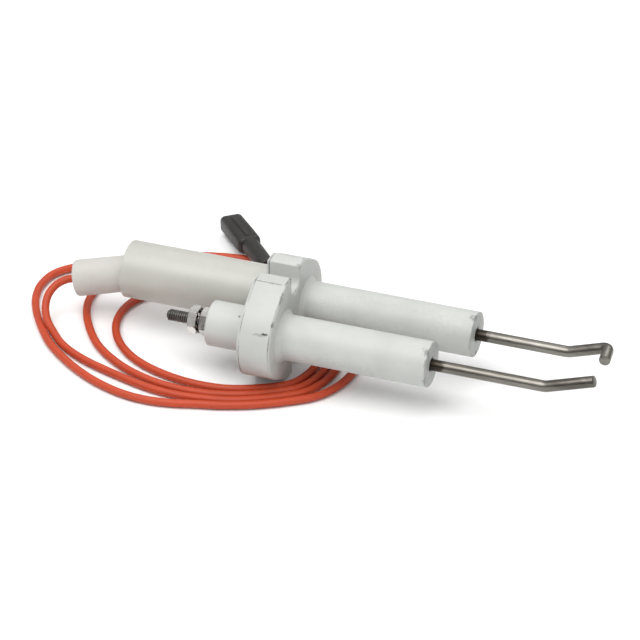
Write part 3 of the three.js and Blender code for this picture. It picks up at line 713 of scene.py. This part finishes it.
inner_points = [(-36.9, SPARK_Y, 25.0), (-39.9, SPARK_Y, 25.0), (-42.5, SPARK_Y, 25.0),
                (-47, 11.9, 23.7), (-51.5, 12.3, 21.5)]
inner_points += [tuple(along_boot(distance)) for distance in (-4, 4, 14, 19.5)]
inner_line = smooth_line(inner_points, 6)
inner_lead = lead_curve("inner_lead_run", inner_line)
inner_lead.data.materials.append(orange)
print("lead inside the boot", round(line_length(inner_line), 1), "mm")

# %% [markdown]
# ## Rods
# Each rod is one length of 4 mm wire, turned down and threaded behind the ceramic and bent in front. A
# circle swept along its line, with a radius at each step, makes the shank, the bends and the tip at once.

# %% Swept rods
ROD_R = 2.0
MINOR_R = 1.66
STUD_END = -42.7
RISE = math.radians(18.5)


def swept(name, line, radii, material, sides=40):
    """A round bar along a line of points in millimetres, with a radius at each and closed ends."""
    verts = []
    normal = Vector((0, 0, 1))
    for i, point in enumerate(line):
        ahead = (line[min(i + 1, len(line) - 1)] - line[max(i - 1, 0)]).normalized()
        normal = (normal - ahead * normal.dot(ahead)).normalized()
        side = ahead.cross(normal)
        for k in range(sides):
            angle = 2 * math.pi * k / sides
            verts.append(at(*(point + (normal * math.cos(angle) + side * math.sin(angle)) * radii[i])))
    faces = ring_faces(len(line), sides, closed=False)
    faces.append(tuple(range(sides)))
    faces.append(tuple(range((len(line) - 1) * sides, len(line) * sides)))
    return add_mesh(name, verts, faces, material)


def bent_line(corners, radii, steps=14):
    """Straight stretches joined by round bends of the given radii, as a list of points."""
    corners = [Vector(corner) for corner in corners]
    line = [corners[0]]
    for before, corner, after, radius in zip(corners, corners[1:], corners[2:], radii):
        back_way = (before - corner).normalized()
        on_way = (after - corner).normalized()
        half = (math.pi - back_way.angle(on_way)) / 2
        reach = radius * math.tan(half)
        centre = corner + (back_way + on_way).normalized() * radius / math.cos(half)
        start = corner + back_way * reach - centre
        end = corner + on_way * reach - centre
        turn = start.angle(end)
        for step in range(steps + 1):
            t = step / steps
            arm = (start * math.sin((1 - t) * turn) + end * math.sin(t * turn)) / math.sin(turn)
            line.append(centre + arm)
    line.append(corners[-1])
    return line


def rod(name, axis, corners, radii, material):
    """A rod on an axis: its turned-down stud behind, then its bends and its rounded tip in front."""
    axis = Vector(axis)
    front = bent_line([axis + Vector(corner) for corner in corners], radii)
    tip_way = (front[-1] - front[-2]).normalized()
    tip = front[-1]
    stud = [(STUD_END, 1.25), (STUD_END + 0.45, MINOR_R), (-27, MINOR_R), (-26.6, ROD_R)]
    line = [axis + Vector((x, 0, 0)) for x, _ in stud] + front[:-1]
    sizes = [radius for _, radius in stud] + [ROD_R] * (len(front) - 1)
    for back_off, size in ((0.35, ROD_R), (0.12, ROD_R - 0.1), (0.0, ROD_R - 0.35)):
        line.append(tip - tip_way * back_off)
        sizes.append(size)
    return swept(name, line, sizes, material)


def risen(bend, length):
    """The point that length along the raised end of a rod which bends up at that distance."""
    return (bend + length * math.cos(RISE), 0, length * math.sin(RISE))


elbow = risen(94.5, 15)
hook = (elbow[0] + 0.8, -8.2, elbow[2] - 0.3)
ground_rod = rod("ground_rod_bar", GROUND_AXIS, [(-26, 0, 0), (93.5, 0, 0), risen(93.5, 18.1)], [7],
                 ground_steel)
spark_rod = rod("spark_rod_bar", SPARK_AXIS, [(-26, 0, 0), (94.5, 0, 0), elbow, hook], [7, 2.6],
                spark_steel)
print("ground rod", [round(size / MM, 1) for size in ground_rod.dimensions], "mm")

# %% [markdown]
# ## Threads
# A thread follows a helix, so Geometry Nodes make it: a spiral with inputs for its radius, turns and
# length, and a round profile carried along it. The same tree threads both studs.

# %% Thread tree
def geometry_tree(name, inputs, takes_geometry=False):
    tree = bpy.data.node_groups.new(name, "GeometryNodeTree")
    if takes_geometry:
        tree.interface.new_socket("Geometry", in_out="INPUT", socket_type="NodeSocketGeometry")
    for label, kind, value in inputs:
        socket = tree.interface.new_socket(label, in_out="INPUT", socket_type=kind)
        if value is not None:
            socket.default_value = value
    tree.interface.new_socket("Geometry", in_out="OUTPUT", socket_type="NodeSocketGeometry")
    return tree, tree.nodes.new("NodeGroupInput"), tree.nodes.new("NodeGroupOutput")


def finish_tree(tree, geometry, inside, outside):
    """Ends a tree in plain geometry that carries the material given to it."""
    realized = node(tree, "GeometryNodeRealizeInstances", {"Geometry": geometry})
    painted = node(tree, "GeometryNodeSetMaterial", {
        "Geometry": realized.outputs["Geometry"], "Material": inside.outputs["Material"]})
    feed(tree, outside.inputs["Geometry"], painted.outputs["Geometry"])


def run_tree(name, tree, values, mesh=None):
    """A plain mesh object made by the tree with those input values."""
    piece = bpy.data.objects.new(name, mesh or bpy.data.meshes.new(name))
    bpy.context.scene.collection.objects.link(piece)
    modifier = piece.modifiers.new("shape", "NODES")
    modifier.node_group = tree
    for item in tree.interface.items_tree:
        if item.in_out == "INPUT" and item.name in values:
            modifier[item.identifier] = values[item.name]
    return settle(piece)


thread_tree, inside, outside = geometry_tree("helical_thread", [
    ("Radius", "NodeSocketFloat", 0.00175), ("Turns", "NodeSocketFloat", 20.0),
    ("Length", "NodeSocketFloat", 0.0159), ("Ridge", "NodeSocketFloat", 0.00033),
    ("Material", "NodeSocketMaterial", None)])
spiral = node(thread_tree, "GeometryNodeCurveSpiral", {
    "Resolution": 28, "Rotations": inside.outputs["Turns"], "Height": inside.outputs["Length"],
    "Start Radius": inside.outputs["Radius"], "End Radius": inside.outputs["Radius"]})
ridge = node(thread_tree, "GeometryNodeCurvePrimitiveCircle", {
    "Resolution": 6, "Radius": inside.outputs["Ridge"]})
carried = node(thread_tree, "GeometryNodeCurveToMesh", {
    "Fill Caps": True, "Curve": spiral.outputs["Curve"], "Profile Curve": ridge.outputs["Curve"]})
finish_tree(thread_tree, carried.outputs["Mesh"], inside, outside)


# %% Threads on both studs
def lay_along_x(piece, start):
    """Turns a mesh made along +Z so that it runs along +X from the start point."""
    turn = Matrix(((0, 0, 1, 0), (1, 0, 0, 0), (0, 1, 0, 0), (0, 0, 0, 1)))
    piece.data.transform(Matrix.Translation(at(*start)) @ turn)
    piece.data.update()
    return piece


def stud_thread(name, axis):
    piece = run_tree(name, thread_tree, {"Turns": 19.4, "Length": 0.0154, "Material": stud_steel})
    lay_along_x(piece, (STUD_END + 0.45, axis[1], axis[2]))
    piece.data.shade_smooth()
    return piece


ground_thread = stud_thread("ground_stud_thread", GROUND_AXIS)
spark_thread = stud_thread("spark_stud_thread", SPARK_AXIS)
print("thread", len(ground_thread.data.polygons), "faces")

# %% [markdown]
# ## Nuts and lock washer
# A nut is a hexagon cut by a cone at both faces. Instead of cutting solids, each ring of points takes
# the smaller of the hexagon's and the cone's radius, which gives the curved chamfer marks of a real nut.
# The lock washer's teeth repeat, so Geometry Nodes set one twisted tooth round the ring.

# %% Hexagon nut
NUT_FLATS = 8.73
NUT_THICK = 3.18


def hex_radius(angle):
    """How far the hexagon's side is from the nut's middle at that angle."""
    corner = math.pi / 3
    return NUT_FLATS / 2 / math.cos((angle % corner) - corner / 2)


def hex_nut(name, axis, front, turn, sides=96):
    """A zinc nut behind its front face, turned by that angle round its axis."""
    thick = NUT_THICK
    rear = front - thick
    levels = [0, 0.12, 0.25, 0.4, 0.6, thick / 2]
    levels += [thick - level for level in reversed(levels[:-1])]
    profile = [(0, 2.7)] + [(level, None) for level in levels] + [(thick, 2.7)]
    profile += [(thick - 0.35, 2.2), (0.35, 2.2)]
    verts = []
    for level, radius in profile:
        for k in range(sides):
            angle = 2 * math.pi * k / sides
            limit = NUT_FLATS / 2 - 0.12 + min(level, thick - level) * 1.75
            size = radius if radius else min(hex_radius(angle), limit)
            verts.append(at(rear + level, axis[1] + size * math.cos(angle + turn),
                            axis[2] + size * math.sin(angle + turn)))
    return add_mesh(name, verts, ring_faces(len(profile), sides), zinc, sharp=24)


inner_nut = hex_nut("ground_nut_inner", GROUND_AXIS, -26.7, math.radians(8))
outer_nut = hex_nut("ground_nut_outer", GROUND_AXIS, -30.98, 0.0)

# %% Toothed lock washer
washer_tree, inside, outside = geometry_tree("toothed_washer", [
    ("Teeth", "NodeSocketInt", 12), ("Circle", "NodeSocketFloat", 0.0037),
    ("Twist", "NodeSocketFloat", 0.5), ("Material", "NodeSocketMaterial", None)], True)
seats = node(washer_tree, "GeometryNodeMeshCircle", {
    "Vertices": inside.outputs["Teeth"], "Radius": inside.outputs["Circle"]})
tooth = node(washer_tree, "GeometryNodeMeshCube", {"Size": (0.0012, 0.0013, 0.00045)})
number = node(washer_tree, "GeometryNodeInputIndex")
share = reckon(washer_tree, "DIVIDE", 2 * math.pi, inside.outputs["Teeth"])
angle = reckon(washer_tree, "MULTIPLY", number.outputs["Index"], share)
euler = node(washer_tree, "ShaderNodeCombineXYZ", {"X": inside.outputs["Twist"], "Z": angle})
rotation = node(washer_tree, "FunctionNodeEulerToRotation", {0: euler.outputs[0]})
teeth = node(washer_tree, "GeometryNodeInstanceOnPoints", {
    "Points": seats.outputs["Mesh"], "Instance": tooth.outputs["Mesh"],
    "Rotation": rotation.outputs[0]})
joined = node(washer_tree, "GeometryNodeJoinGeometry", {"Geometry": teeth.outputs["Instances"]})
feed(washer_tree, joined.inputs["Geometry"], inside.outputs["Geometry"])
finish_tree(washer_tree, joined.outputs["Geometry"], inside, outside)

# The ring under the teeth is made along +Z like them, so that both are laid on the stud together.
ring_mesh = bpy.data.meshes.new("washer_ring")
ring_sides = 60
ring_profile = soften([(-0.22, 2.3), (-0.22, 3.5), (0.22, 3.5), (0.22, 2.3)], 0.1, steps=2)
ring_points = [
    (size * math.cos(2 * math.pi * k / ring_sides) * MM,
     size * math.sin(2 * math.pi * k / ring_sides) * MM, level * MM)
    for level, size in ring_profile for k in range(ring_sides)]
ring_mesh.from_pydata(ring_points, [], ring_faces(len(ring_profile), ring_sides))
shell = bmesh.new()
shell.from_mesh(ring_mesh)
bmesh.ops.recalc_face_normals(shell, faces=shell.faces)
shell.to_mesh(ring_mesh)
shell.free()
lock_washer = run_tree("ground_star_washer", washer_tree, {"Material": washer_steel_painted_shade}, ring_mesh)
lay_along_x(lock_washer, (-30.43, GROUND_Y, AXIS_Z))
print("washer", [round(size / MM, 2) for size in lock_washer.dimensions], "mm")

# %% [markdown]
# ## Connector
# A moulded nylon shell over a push-on receptacle, with a narrower strain relief where the lead enters.
# It could be a box with bevels, but lofting rounded rectangles of changing size along its line gives the
# moulded shoulders, the grip rib and the hollow mouth in one skin.

# %% Connector frame
NECK = Vector((-28.3, 46.3, 8.95))
MOUTH = Vector((-53.4, 77.6, 3.9))
POINTING = (MOUTH - NECK).normalized()
ACROSS = Vector((0, 0, 1)).cross(POINTING).normalized()
ABOVE = POINTING.cross(ACROSS)
NECK_LENGTH = 17.6
SHELL_END = (MOUTH - NECK).length


def rounded_section(width, height, corner, per_corner=6):
    """A rectangle with round corners, as points (across, up) round its middle."""
    points = []
    corner = min(corner, width / 2 - 0.01, height / 2 - 0.01)
    for quarter, (sx, sy) in enumerate(((1, 1), (-1, 1), (-1, -1), (1, -1))):
        cx = sx * (width / 2 - corner)
        cy = sy * (height / 2 - corner)
        for step in range(per_corner + 1):
            angle = math.pi / 2 * (quarter + step / per_corner)
            points.append((cx + corner * math.cos(angle), cy + corner * math.sin(angle)))
    return points


def loft(name, sections, closed=False, lift=0.0):
    """Skins rounded rectangles (along, width, height, corner); closed joins the last to the first."""
    verts = []
    for along, width, height, corner in sections:
        for across, up in rounded_section(width, height, corner):
            verts.append(at(*(NECK + POINTING * along + ACROSS * across + ABOVE * (up + lift))))
    count = len(verts) // len(sections)
    faces = ring_faces(len(sections), count, closed)
    if not closed:
        faces.append(tuple(range(count)))
        faces.append(tuple(range(len(verts) - count, len(verts))))
    return add_mesh(name, verts, faces, charcoal, sharp=45)


# %% Connector pieces
# The relief's lip starts a little before its plain node, so that it covers the lead up to the flange.
neck = loft("connector_relief", [
    (-2.2, 5.0, 4.8, 2.3), (-1.8, 5.5, 5.3, 2.6), (3.5, 6.0, 5.8, 2.7), (9.5, 6.3, 6.1, 2.8),
    (16.4, 6.5, 6.3, 2.9), (18.0, 6.5, 6.3, 2.9)])
start = NECK_LENGTH + 0.1
end = SHELL_END
shell_piece = loft("connector_shell", [
    (start, 3.6, 3.6, 1.7), (start, 7.0, 5.4, 2.2), (start + 0.5, 7.9, 6.0, 2.1),
    (start + 1.6, 8.5, 6.2, 1.9), (start + 12, 8.6, 6.2, 1.8), (end - 0.6, 8.5, 6.15, 1.8),
    (end, 8.1, 5.8, 1.7), (end, 7.0, 4.6, 1.1), (end - 0.4, 6.8, 4.4, 0.9),
    (start + 3, 6.8, 4.4, 0.9), (start + 3, 3.6, 3.6, 1.7)], closed=True)
rib = loft("connector_rib", [
    (start + 2.6, 1.0, 0.5, 0.2), (start + 3.2, 1.6, 0.9, 0.3), (end - 3.2, 1.6, 0.9, 0.3),
    (end - 2.6, 1.0, 0.5, 0.2)], lift=3.1)
print("connector", round(SHELL_END, 1), "mm long")

# %% [markdown]
# ## Put every piece on its body
# Each new piece rides on a moving body of the imported model and hides the plain nodes it stands for, so
# the nut and washer travel with their joint and everything else stays together.

# %% Ride and replace
PIECES = [
    (flange, "electrode", "ceramic", ["flange_block"]),
    (ground_tube, "electrode", "ceramic", ["ground_insulator"]),
    (spark_tube, "electrode", "ceramic", ["spark_insulator"]),
    (ground_cement_front, "electrode", "cement", ["ground_front_cement"]),
    (ground_cement_rear, "electrode", "cement", ["ground_rear_cement"]),
    (spark_cement_front, "electrode", "cement", ["spark_front_cement"]),
    (sleeve, "electrode", "sleeving", ["terminal_sleeve"]),
    (boot, "electrode", "boot_rubber", ["cable_boot"]),
    (ground_rod, "electrode", "electrode_steel", ["ground_rod"]),
    (spark_rod, "electrode", "electrode_steel", ["spark_rod"]),
    (ground_thread, "electrode", "electrode_steel", []),
    (spark_thread, "electrode", "electrode_steel", []),
    (inner_nut, "electrode", "plated_steel", ["ground_inner_nut"]),
    (lock_washer, "washer", "plated_steel", ["ground_lock_washer"]),
    (outer_nut, "nut", "plated_steel", ["ground_terminal_nut"]),
    (inner_lead, "electrode", "silicone_cable", ["inner_lead"]),
    (free_lead, "electrode", "silicone_cable", ["lead_cable"]),
    (neck, "electrode", "connector_nylon", ["connector_neck"]),
    (shell_piece, "electrode", "connector_nylon", ["connector_housing"]),
    (rib, "electrode", "connector_nylon", []),
]
for piece, body, slot_name, nodes in PIECES:
    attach(piece, body)
    if nodes:
        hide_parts(*nodes)
for name, material in (("spark_inner_nut", zinc), ("spark_lock_washer", zinc),
                       ("spark_outer_nut", zinc), ("spark_ring_terminal", tinned),
                       ("connector_receptacle", tinned)):
    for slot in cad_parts[name].material_slots:
        slot.material = material
print(len(PIECES), "detailed pieces on their bodies")

# %% [markdown]
# ## Floor and light
# A pale flat floor and large soft lamps give the even light of a product table. The floor is plain, so
# that the part's own soft shadow is all that shows on it.

# %% Floor
floor_material, tree, shader, place = blank_material("pale_floor")
mottle = use_group(tree, mottle_group, place, Scale=12.0, Contrast=0.05)
tone = blend(tree, weaken(tree, mottle.outputs["Value"], 0.3), (0.90, 0.90, 0.90), (0.88, 0.88, 0.88))
feed(tree, shader.inputs["Base Color"], tone)
feed(tree, shader.inputs["Roughness"], 0.9)
feed(tree, shader.inputs["Specular IOR Level"], 0.1)
FLOOR_HALF = 3.0
floor_mesh = bpy.data.meshes.new("floor")
floor_corners = [(-1, -1), (1, -1), (1, 1), (-1, 1)]
floor_mesh.from_pydata([(x * FLOOR_HALF, y * FLOOR_HALF, 0) for x, y in floor_corners], [],
                       [(0, 1, 2, 3)])
floor_mesh.materials.append(floor_material)
floor = bpy.data.objects.new("floor", floor_mesh)
floor.location.z = -0.2 * MM
bpy.context.scene.collection.objects.link(floor)


# %% Lights
def soft_lamp(name, azimuth, elevation, distance, size, power):
    """A round lamp that faces the part from that azimuth and elevation, in degrees and metres."""
    data = bpy.data.lights.new(name, "AREA")
    data.shape = "DISK"
    data.size = size
    data.energy = power
    lamp = bpy.data.objects.new(name, data)
    bpy.context.scene.collection.objects.link(lamp)
    way = toward(math.radians(azimuth), math.radians(elevation))
    lamp.location = at(0, 0, 20) + distance * way
    lamp.rotation_euler = way.to_track_quat("Z", "Y").to_euler()


soft_lamp("key", -25, 68, 1.2, 1.0, 10.0)
soft_lamp("fill", 60, 35, 1.4, 1.0, 2.0)
soft_lamp("back", 170, 50, 1.4, 0.8, 3.0)
world = bpy.data.worlds.new("studio")
world.use_nodes = True
sky = world.node_tree
direction = node(sky, "ShaderNodeTexCoord")
height = node(sky, "ShaderNodeSeparateXYZ", {0: direction.outputs["Generated"]})
glow = fade(sky, height.outputs["Z"], 0.0, 0.75, 0.12, 1.0)
backdrop = sky.nodes["Background"]
feed(sky, backdrop.inputs["Color"], blend(sky, glow, (0.0, 0.0, 0.0), (1.0, 1.0, 1.0)))
feed(sky, backdrop.inputs["Strength"], 0.9)
bpy.context.scene.world = world
bpy.context.scene.view_settings.view_transform = "Standard"
